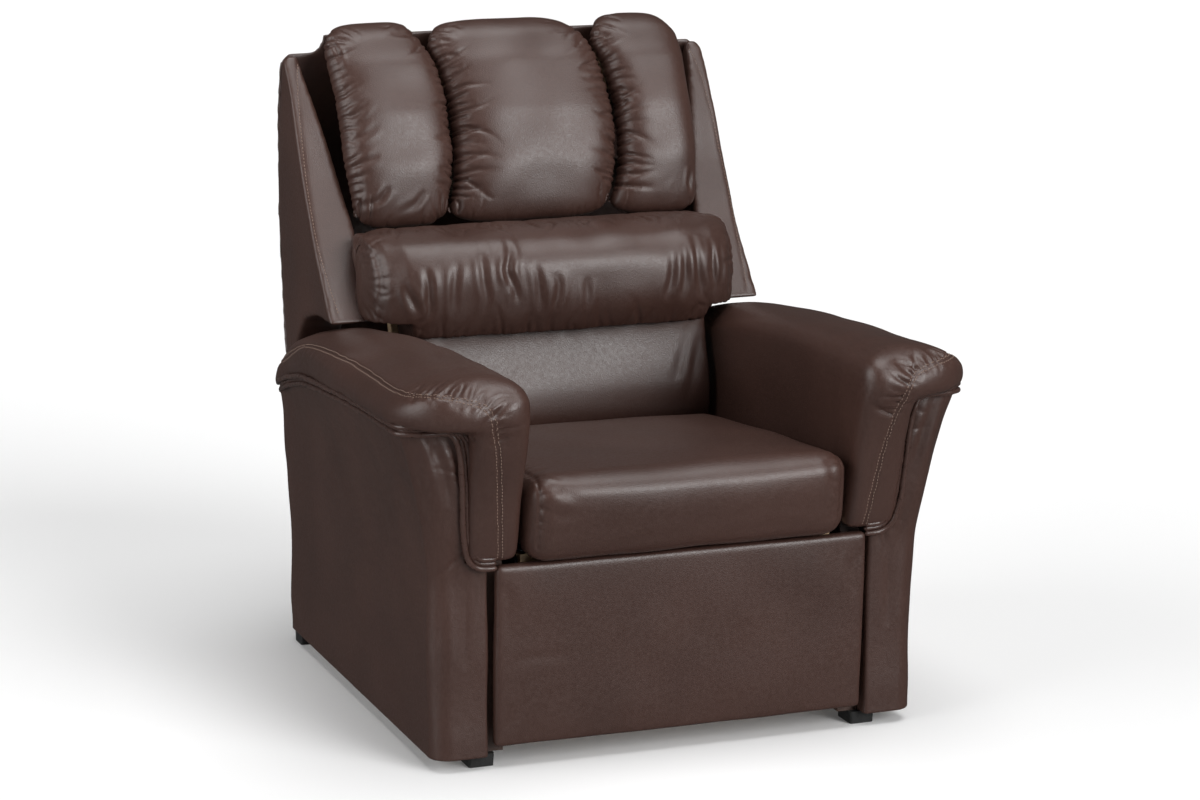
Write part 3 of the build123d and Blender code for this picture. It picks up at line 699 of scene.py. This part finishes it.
seat.V[:, 2] = low_z + (seat.V[:, 2] + hz) / (2 * hz) * (top_z - low_z)
# the front lip hangs down over the seat's front rail
lip = ease((-0.402 - SEAT_Y - seat.V[:, 1]) / 0.014) * ease((0.385 - seat.V[:, 2]) / 0.035)
seat.V[:, 2] -= 0.0125 * lip
tip = ease((seat.V[:, 2] - 0.335) / 0.13)
seat.V[:, 1] += SEAT_Y + 0.010 * (1 - tip) * ease((-y - 0.5) * 2)
for sign, seed in ((-1, 61), (1, 62)):
    seam = Line([(sign * x, y, z) for x, y, z in (
        (249, 60, 424), (249, -200, 448), (249, -400, 462), (250, -448, 458), (249, -464, 430),
        (249, -460, 390), (248, -452, 352))])
    seat.snap(seam)
    seat.groove(seam, 0.0020, 0.0030)
    seat.gather(seam, 0.017, 0.0022, 0.040, seed, width=0.0034, slant=0.2, start=0.30,
                only=lambda V, q=sign: ease((0.2505 - q * V[:, 0]) / 0.004))
for pts, deep in (([(-240, -466, 452), (-215, -470, 440), (-190, -472, 432)], .0022),
                  ([(-238, -464, 400), (-214, -470, 404), (-186, -472, 404)], .0016),
                  ([(-226, -430, 473), (-214, -456, 468), (-206, -468, 452)], .0018),
                  ([(-150, -460, 350), (-80, -466, 360), (0, -468, 362)], .0016),
                  ([(232, -458, 462), (226, -470, 440), (228, -468, 400)], .0020),
                  ([(40, -466, 350), (120, -470, 358), (200, -464, 352)], .0014)):
    seat.crease(pts, deep, 0.007)
seat.swell(63, 0.0014, 0.17)
emit("visual_seat_cushion", seat, hide, "seat", ["seat_cushion"], extra=1)

# ------------------------------------------------------------------ footrest pad
PAD_HALF = (0.305, 0.011, 0.1445)
lean = math.radians(2.77)
pad = box_skin(PAD_HALF, 0.0085, 0.0048)
x, y, z = (pad.V / PAD_HALF).T
pad.V[:, 1] -= np.where(y < 0, 0.0045 * (1 - np.abs(x) ** 5) * (1 - np.abs(z) ** 4), 0)
c, s = math.cos(lean), math.sin(lean)
front = np.array([0, -0.427, 0.1785])
P = pad.V + [0, PAD_HALF[1], 0]
pad.V = np.stack([P[:, 0], front[1] + P[:, 1] * c - P[:, 2] * s, front[2] + P[:, 1] * s + P[:, 2] * c], 1)
for pts, deep in (([(-300, -432, 300), (-284, -433, 260), (-290, -430, 200)], .0012),
                  ([(-292, -420, 60), (-270, -422, 90), (-262, -424, 140)], .0012),
                  ([(296, -432, 300), (280, -433, 268), (284, -431, 220)], .0012),
                  ([(-292, -428, 170), (-240, -431, 176), (-180, -432, 172)], .0007)):
    pad.crease(pts, deep, 0.008)
pad.swell(71, 0.0009, 0.15)
emit("visual_footrest_pad", pad, hide, "footrest", ["footrest_pad"], extra=1)

# ------------------------------------------------------------------ arm covers
# Height of the welt against Y, from the rear to the front.
WELT = [(412, 443), (300, 476), (167, 506), (50, 520), (-150, 538), (-320, 544), (-500, 546)]


def welt_z(y):
    return np.interp(-np.asarray(y), [-a for a, _ in WELT], [b for _, b in WELT])


heights = np.arange(0, 620, 2.0)
kernel = np.hanning(31) / np.hanning(31).sum()


def soft_interp(z, zs, vs):
    """Interpolation with its corners rounded off."""
    raw = np.interp(heights, zs, vs)
    padded = np.concatenate([np.full(15, raw[0]), raw, raw[-1] + (raw[-1] - raw[-2]) * np.arange(1, 16)])
    return np.interp(z, heights, np.convolve(padded, kernel, "valid"))


def outer_x(z):
    """Outer face of the cover at a height."""
    return soft_interp(z, [20, 220, 310, 375, 445, 510, 560, 620], [401, 401, 405, 413, 425, 444, 464, 488])


def front_y(z):
    """Front face of the cover at a height."""
    return soft_interp(z, [20, 220, 310, 375, 445, 510, 560, 620],
                       [-415, -416, -421, -434, -443, -446, -449, -452])


def rear_in(y, z):
    """How much less the side flares towards the rear, in metres."""
    return 0.010 * ease((y + 0.10) / 0.45) * ease((z - 0.33) / 0.11)


CORNER = 32.0      # radius of the cover's upright corners
RETURN = 8         # points of the inward return at the front
COVER_BOTTOM = 20
FRONT_TOP = 331    # where the arm pad's front starts
REAR_Y = 412.0
COUNTS = (14, 14, 18, 190, 16)


def plan_points(z):
    """Outline in plan of the cover at one height: front inner edge, front, corner, side, corner, rear."""
    n_inner, n_front, n_corner, n_side, n_rear = COUNTS
    xo, yf, yr = float(outer_x(z)), float(front_y(z)), REAR_Y
    pts = [(313.5, b) for b in np.linspace(-384, yf + 7, RETURN - 2)] + [(314.3, yf + 3), (316.2, yf + 0.9)]
    pts += [(a, yf) for a in np.linspace(319, 352, n_inner)]
    pts += [(a, yf) for a in np.linspace(352, xo - CORNER, n_front)[1:]]
    pts += [(xo - CORNER + CORNER * math.sin(a), yf + CORNER - CORNER * math.cos(a))
            for a in np.linspace(0, math.pi / 2, n_corner)[1:]]
    pts += [(xo, b) for b in np.linspace(yf + CORNER, yr - CORNER, n_side)[1:]]
    pts += [(xo - CORNER + CORNER * math.cos(a), yr - CORNER + CORNER * math.sin(a))
            for a in np.linspace(0, math.pi / 2, n_corner)[1:]]
    pts += [(a, yr) for a in np.linspace(xo - CORNER, 315, n_rear)[1:]]
    return np.array(pts)


def cover_skin():
    """Open sheet: full rows up to the pad's front, then rows that run up to the welt outside the pad."""
    rows_low, rows_high = 92, 68
    low = []
    for z in np.linspace(COVER_BOTTOM, FRONT_TOP, rows_low):
        p = plan_points(z)
        low.append(np.column_stack([p, np.full(len(p), z)]))
    low = np.array(low)
    i0 = RETURN + COUNTS[0] - 1
    n = low.shape[1]
    # the top edge depends on Y and Y on the height, so it is found by repeating
    guess = plan_points(500)
    solved = [k for k in range(i0, n) if k % 6 == 0 or k < 60 or k > n - 40]
    for _ in range(3):
        top = welt_z(guess[:, 1]) - 3.0
        for k in solved:
            guess[k] = plan_points(top[k])[k]
    high = []
    table = {}
    for r in range(1, rows_high):
        f = r / (rows_high - 1)
        row = []
        for k in range(i0, n):
            z = FRONT_TOP + (top[k] - FRONT_TOP) * f
            key = round(z)
            for level in (key, key + 1):
                if level not in table:
                    table[level] = plan_points(level)
            a = z - key
            q = table[key][k] * (1 - a) + table[key + 1][k] * a
            row.append((*q, z))
        high.append(row)
    high = np.array(high)
    V = np.vstack([low.reshape(-1, 3), high.reshape(-1, 3)]) * 0.001
    F = []
    i, j = np.meshgrid(np.arange(rows_low - 1), np.arange(n - 1), indexing="ij")
    F.append(np.stack([i * n + j, i * n + j + 1, (i + 1) * n + j + 1, (i + 1) * n + j], -1).reshape(-1, 4))
    w = n - i0
    base = rows_low * n
    j = np.arange(w - 1)
    last = (rows_low - 1) * n + i0
    F.append(np.stack([last + j, last + j + 1, base + j + 1, base + j], -1))
    i, j = np.meshgrid(np.arange(rows_high - 2), np.arange(w - 1), indexing="ij")
    F.append(np.stack([base + i * w + j, base + i * w + j + 1, base + (i + 1) * w + j + 1,
                       base + (i + 1) * w + j], -1).reshape(-1, 4))
    return Skin(V, np.vstack(F))


# Arm pad: height of its ridge against Y, and how far it falls from the ridge against X.
PAD_CREST = [(-430, 620), (-330, 621), (-180, 616), (-20, 604), (100, 591), (180, 580), (250, 565),
             (300, 547), (356, 518), (405, 480), (412, 462)]
PAD_FALL = [(272, 46), (277, 30), (284, 18), (298, 7), (320, 1), (350, 0), (380, 3), (420, 15), (445, 27),
            (458, 37), (470, 54)]
CORD_RADIUS = 0.0043


def build_arm(side, seed):
    """One arm: pad, side cover and welt. Built on +X and mirrored for the left one."""
    def flip(skin):
        return skin if side == "right" else skin.mirrored()

    # side cover
    cover = cover_skin()
    n_out = cover.normals()
    if (n_out[:, 0] * (cover.V[:, 0] > 0.40)).sum() < 0:
        cover.F = cover.F[:, ::-1]
    rng = np.random.default_rng(seed)
    cover.gather(Line([(316, -424, 331), (334, -424, 329), (352, -426, 331), (366, -430, 345)]),
                 0.0095, 0.0030, 0.050, seed + 1, width=0.0026, slant=0.25)
    cover.gather(Line([(352, -443, 450), (356, -446, 500), (372, -448, 538), (398, -448, 540),
                       (430, -440, 541), (452, -415, 541)]),
                 0.014, 0.0030, 0.060, seed + 2, width=0.0034, slant=0.35)
    for pts, deep, wide in (
            ([(388, -450, 536), (372, -448, 500), (362, -446, 452)], .0040, .0060),
            ([(412, -449, 534), (392, -447, 480), (378, -442, 420)], .0030, .0070),
            ([(436, -436, 532), (424, -432, 470), (408, -424, 410)], .0026, .0080),
            ([(372, -436, 400), (368, -424, 300), (366, -418, 180)], .0020, .0100),
            ([(392, -425, 330), (390, -408, 220), (392, -402, 90)], .0018, .0110),
            ([(345, -422, 318), (350, -418, 250), (352, -416, 160)], .0022, .0080)):
        cover.crease(pts, deep, wide)
    cover.V[:, 0] -= rear_in(cover.V[:, 1], cover.V[:, 2])
    cover.swell(seed + 3, 0.0016, 0.20, lambda V: ease((V[:, 2] - 0.03) / 0.05))
    cover.swell(seed + 4, 0.0007, 0.07, lambda V: ease((V[:, 2] - 0.25) / 0.2))
    emit(f"visual_arm_cover_{side}", flip(cover), hide, "base", [f"arm_cover_{side}"],
         extra=1, thick=0.006)
    # pad
    pad = cad_skin("arm_pad_right", 0.0033, 3)
    X, Y, Z = (pad.V * 1000).T
    crest = np.interp(Y, *zip(*PAD_CREST))
    fall = np.interp(X, *zip(*PAD_FALL))
    low = np.where(X < 302, crest - 90, welt_z(Y) + 3)
    room = np.maximum(crest - low, 1)
    cut = np.minimum(np.minimum(fall, 620 - crest), 0.75 * room)
    pad.V[:, 2] -= 0.001 * cut * ease((Z - low) / room) * (Y > -430)
    nose = ease((-0.36 - pad.V[:, 1]) / 0.05)
    upper = ease((pad.V[:, 2] - 0.36) / 0.05)
    pad.relax(18, 0.5, 0.35 + 0.65 * upper)
    pad.relax(50, 0.5, nose * 0.9)
    outer = ease((pad.V[:, 0] - 0.36) / 0.06) * ease((pad.V[:, 2] - 0.42) / 0.06)
    pad.relax(20, 0.5, outer * 0.8)
    pad.V += pad.normals() * (0.0030 * nose + 0.0012)[:, None]
    seam = Line([(300, -430, 336), (306, -449, 400), (314, -468, 478), (325, -486, 540), (338, -500, 572),
                 (358, -506, 592), (388, -492, 596), (418, -470, 594), (440, -430, 592), (446, -350, 594),
                 (444, -250, 596), (440, -110, 592), (434, 20, 580), (428, 130, 560), (420, 260, 528),
                 (414, 390, 484)])
    pad.snap(seam)
    turn = seam.S[np.argmin(np.linalg.norm(seam.P - [0.338, -0.500, 0.572], axis=1))]
    wrap = seam.S[np.argmin(np.linalg.norm(seam.P - [0.440, -0.430, 0.592], axis=1))]
    pad.gather(seam, 0.0108, 0.0064, 0.050, seed + 11, width=0.0030, slant=0.25, start=turn - 0.065,
               stop=wrap + 0.005, side=-1)
    pad.gather(seam, 0.0075, 0.0030, 0.030, seed + 12, width=0.0022, slant=0.3, start=turn - 0.060,
               stop=wrap, side=-1)
    pad.gather(seam, 0.013, 0.0034, 0.026, seed + 13, width=0.0032, slant=0.3, start=turn - 0.060,
               stop=wrap, side=1)
    hub = np.array([382.0, -462.0, 548.0])
    for k, (dx, dz) in enumerate(((-44, 26), (-26, 38), (-6, 40), (22, 34), (44, 18), (-52, 4), (-46, -18))):
        a = rng.uniform(0.85, 1.15)
        pad.crease([tuple(hub + [0.1 * dx, 4, 0.1 * dz]), tuple(hub + [0.5 * dx, -12, 0.5 * dz]),
                    tuple(hub + [dx * a, -20, dz * a])], 0.0034, 0.0040, 0.5)
    pad.groove(seam, 0.0030, 0.0030)
    pad.crease([(346, -452, 360), (340, -462, 420), (346, -474, 480)], 0.0016, 0.009)
    pad.gather(Line([(300, -432, 338), (325, -434, 336), (345, -434, 338)]), 0.012, 0.0018, 0.030, seed + 14)
    pad.swell(seed + 15, 0.0018, 0.16, lambda V: ease((V[:, 2] - 0.36) / 0.05))
    pad.relax(1, 0.3)
    body_skin = flip(pad)
    emit(f"visual_arm_pad_{side}", body_skin, hide, "base", [f"arm_pad_{side}"])
    # stitching: a double row on the seam from end to end
    sign = 1 if side == "right" else -1
    own_seam = Line(seam.P * [sign, 1, 1], 0.002, 1.0)
    tree = body_skin.tree()
    rows = joined([stitches(own_seam, tree, sideways=q * 0.0033) for q in (1, -1)])
    emit(f"visual_arm_stitching_{side}", rows, thread, "base")
    # welt: two cords with a folded band between them, along the side and down the front
    line = []
    for y in (404, 340, 240, 130, 20, -90, -200, -300, -370, -404):
        z = float(welt_z(y))
        xo = float(outer_x(z))
        drop = max(0.0, y - 380) * 0.35
        line.append((xo + 0.5 - drop - 1000 * float(rear_in(y * 0.001, z * 0.001)), y, z))
    z = 544.0
    xo, yf = float(outer_x(z)), float(front_y(z))
    for a in (25, 50, 75):
        line.append((xo - CORNER + (CORNER + 1) * math.cos(math.radians(a)),
                     yf + CORNER - (CORNER + 1) * math.sin(math.radians(a)), z + 0.8))
    line += [(410, yf - 2, 545), (392, yf - 3, 546), (377, yf - 4, 541), (367, yf - 4, 526),
             (361, yf - 2, 500), (357, -447, 460), (354, -441, 410), (350, -433, 365), (343, -428, 340),
             (330, -426, 329), (315, -426, 327), (303, -425, 327)]
    mid = Line(line, 0.0025)
    # outward direction of the cover under the welt
    f = ease((mid.P[:, 0] - 0.40) / 0.05)
    at_front = np.column_stack([f, -(1 - f) - 0.05, -0.1 * f])
    n_cover = unit(np.where(mid.P[:, 1:2] > -0.40, [(1, 0, -0.25)], at_front))
    across = unit(np.cross(mid.T, n_cover))
    wide = np.interp(mid.S, [0, 0.12, 0.5, 0.80, 0.90, mid.S[-1] - 0.30, mid.S[-1] - 0.22, mid.S[-1]],
                     [0.0072, 0.0068, 0.0052, 0.0050, 0.0058, 0.0066, 0.0070, 0.0074])
    shake = ripple(mid.P, seed + 20, 0.05) * 0.0009
    parts = []
    for k, q in enumerate((1, -1)):
        P = mid.P + across * (q * wide + shake)[:, None] + n_cover * (0.0030 + 0.0006 * ripple(
            mid.P, seed + 21 + k, 0.03))[:, None]
        parts.append(tube(Line(P, 0.0025, 1.0), CORD_RADIUS, 10, seed + 23 + k))
    inner = Line(mid.P - n_cover * 0.0012, 0.0025, 1.0)
    parts.append(tube(inner, 0.0042, 10, seed + 26, 0.15))
    # bunched folds of the band where it turns the front corner
    for k in range(5):
        a = 392 - 7.5 * k
        parts.append(tube(Line([(a + 9, yf - 6, 550 - 2.0 * k), (a, yf - 10 - (k % 2) * 1.5, 545 - 2.5 * k),
                                (a - 9, yf - 7, 537 - 4.0 * k)], 0.0015), 0.0030, 8, seed + 30 + k, 0.2))
    cord = joined(parts)
    emit(f"visual_arm_welt_{side}", flip(cord), hide_welt_painted_highlight, "base", [f"arm_welt_{side}"])


build_arm("left", 200)
build_arm("right", 300)

# ------------------------------------------------------------------ wings and back cover
for side, sign, seed in (("left", -1, 81), ("right", 1, 82)):
    wing = cad_skin("back_wing_right", 0.0040, 5)
    edge = Line([(357, 447, 990), (365, 418, 954), (370, 392, 906), (373, 365, 860), (375, 340, 808),
                 (376, 310, 760), (375, 275, 704), (370, 225, 645), (364, 186, 603)])
    # the lower edge follows the arm below it
    was = np.interp(wing.V[:, 1], *zip((0.182, 0.600), (0.300, 0.587), (0.420, 0.562)))
    to = np.interp(wing.V[:, 1], *zip(
        (0.182, 0.589), (0.266, 0.588), (0.302, 0.583), (0.326, 0.577), (0.350, 0.570), (0.374, 0.550),
        (0.386, 0.533), (0.405, 0.505), (0.420, 0.500)))
    wing.V[:, 2] -= (was - to) * ease((0.680 - wing.V[:, 2]) / 0.090) * (wing.V[:, 1] < 0.424)
    wing.relax(3)
    wing.V += wing.normals() * 0.0014
    wing.snap(edge)
    wing.groove(edge, 0.0012, 0.0024)
    wing.swell(seed, 0.0014, 0.15)
    for pts in ([(340, 352, 800), (338, 330, 740), (336, 300, 690)],
                [(352, 400, 900), (346, 376, 850), (342, 352, 800)]):
        wing.crease(pts, 0.0016, 0.010)
    if side == "left":
        wing = wing.mirrored()
        edge = Line(edge.P * [-1, 1, 1], 0.002, 1.0)
    emit(f"visual_back_wing_{side}", wing, hide, "back", [f"back_wing_{side}"], extra=1)
    row = stitches(edge, wing.tree(), pitch=0.0062, length=0.0042, radius=0.0007, lift=0.0004)
    emit(f"visual_wing_stitching_{side}", row, thread, "back")

cover = cad_skin("back_cover", 0.0050, 5)
for sign in (-1, 1):
    seam = Line([(sign * 352, y, z) for y, z in ((482, 985), (512, 800), (506, 640), (478, 490))])
    cover.groove(seam, 0.0014, 0.0035)
cover.swell(91, 0.0022, 0.22, lambda V: ease((V[:, 1] - 0.46) / 0.02))
cover.gather(Line([(-340, 476, 492), (0, 478, 490), (340, 476, 492)]), 0.032, 0.0020, 0.060, 92, width=0.006)
emit("visual_back_cover", cover, hide, "back", ["back_cover"])

# ------------------------------------------------------------------ stage, lights, camera
floor_mesh = bpy.data.meshes.new("floor")
FLOOR_HALF, FLOOR_Z = 60, -0.0005
corners = ((-1, -1), (1, -1), (1, 1), (-1, 1))
floor_mesh.from_pydata([(FLOOR_HALF * a, FLOOR_HALF * b, FLOOR_Z) for a, b in corners], [], [(0, 1, 2, 3)])
floor = bpy.data.objects.new("floor", floor_mesh)
scene.collection.objects.link(floor)
floor_material, _, paper, _ = new_material("floor_paper")
for socket, value in (("Base Color", (0.86, 0.86, 0.86, 1)), ("Roughness", 0.9), ("Specular IOR Level", 0.0),
                      ("Emission Color", (1, 1, 1, 1)), ("Emission Strength", 0.06)):
    paper.inputs[socket].default_value = value
floor_mesh.materials.append(floor_material)
floor.visible_glossy = False

world = bpy.data.worlds.new("studio")
scene.world = world
world.use_nodes = True
world.node_tree.nodes["Background"].inputs[0].default_value = (1, 1, 1, 1)
world.node_tree.nodes["Background"].inputs[1].default_value = 0.06


# Each light: name, direction it comes from, strength, and the angle it spreads over in degrees.
LIGHTS = (("overhead", (0.10, -0.12, 1.0), 1.9, 46), ("front_low", (0.36, -0.90, 0.25), 0.60, 26),
          ("front_right", (0.42, -0.79, 0.45), 1.85, 34), ("left", (-0.95, -0.05, 0.32), 1.7, 52))
for name, direction, strength, angle in LIGHTS:
    sun = bpy.data.lights.new(name, "SUN")
    sun.energy = strength
    sun.angle = math.radians(angle)
    lamp = bpy.data.objects.new(name, sun)
    lamp.rotation_euler = (-Vector(direction)).to_track_quat("-Z", "Y").to_euler()
    scene.collection.objects.link(lamp)

CAMERA_PLACE = (-1.875, -5.059, 1.610)
CAMERA_TARGET = (0.0148, -0.02, 0.4735)
cam_data = bpy.data.cameras.new("camera")
cam_data.sensor_width = 36
cam_data.lens = 101.0
cam_data.clip_end = 200
cam = bpy.data.objects.new("camera", cam_data)
cam.location = CAMERA_PLACE
cam.rotation_euler = (Vector(CAMERA_TARGET) - cam.location).to_track_quat("-Z", "Y").to_euler()
scene.collection.objects.link(cam)
scene.camera = cam
scene.view_settings.view_transform = "Standard"

bpy.context.view_layer.update()
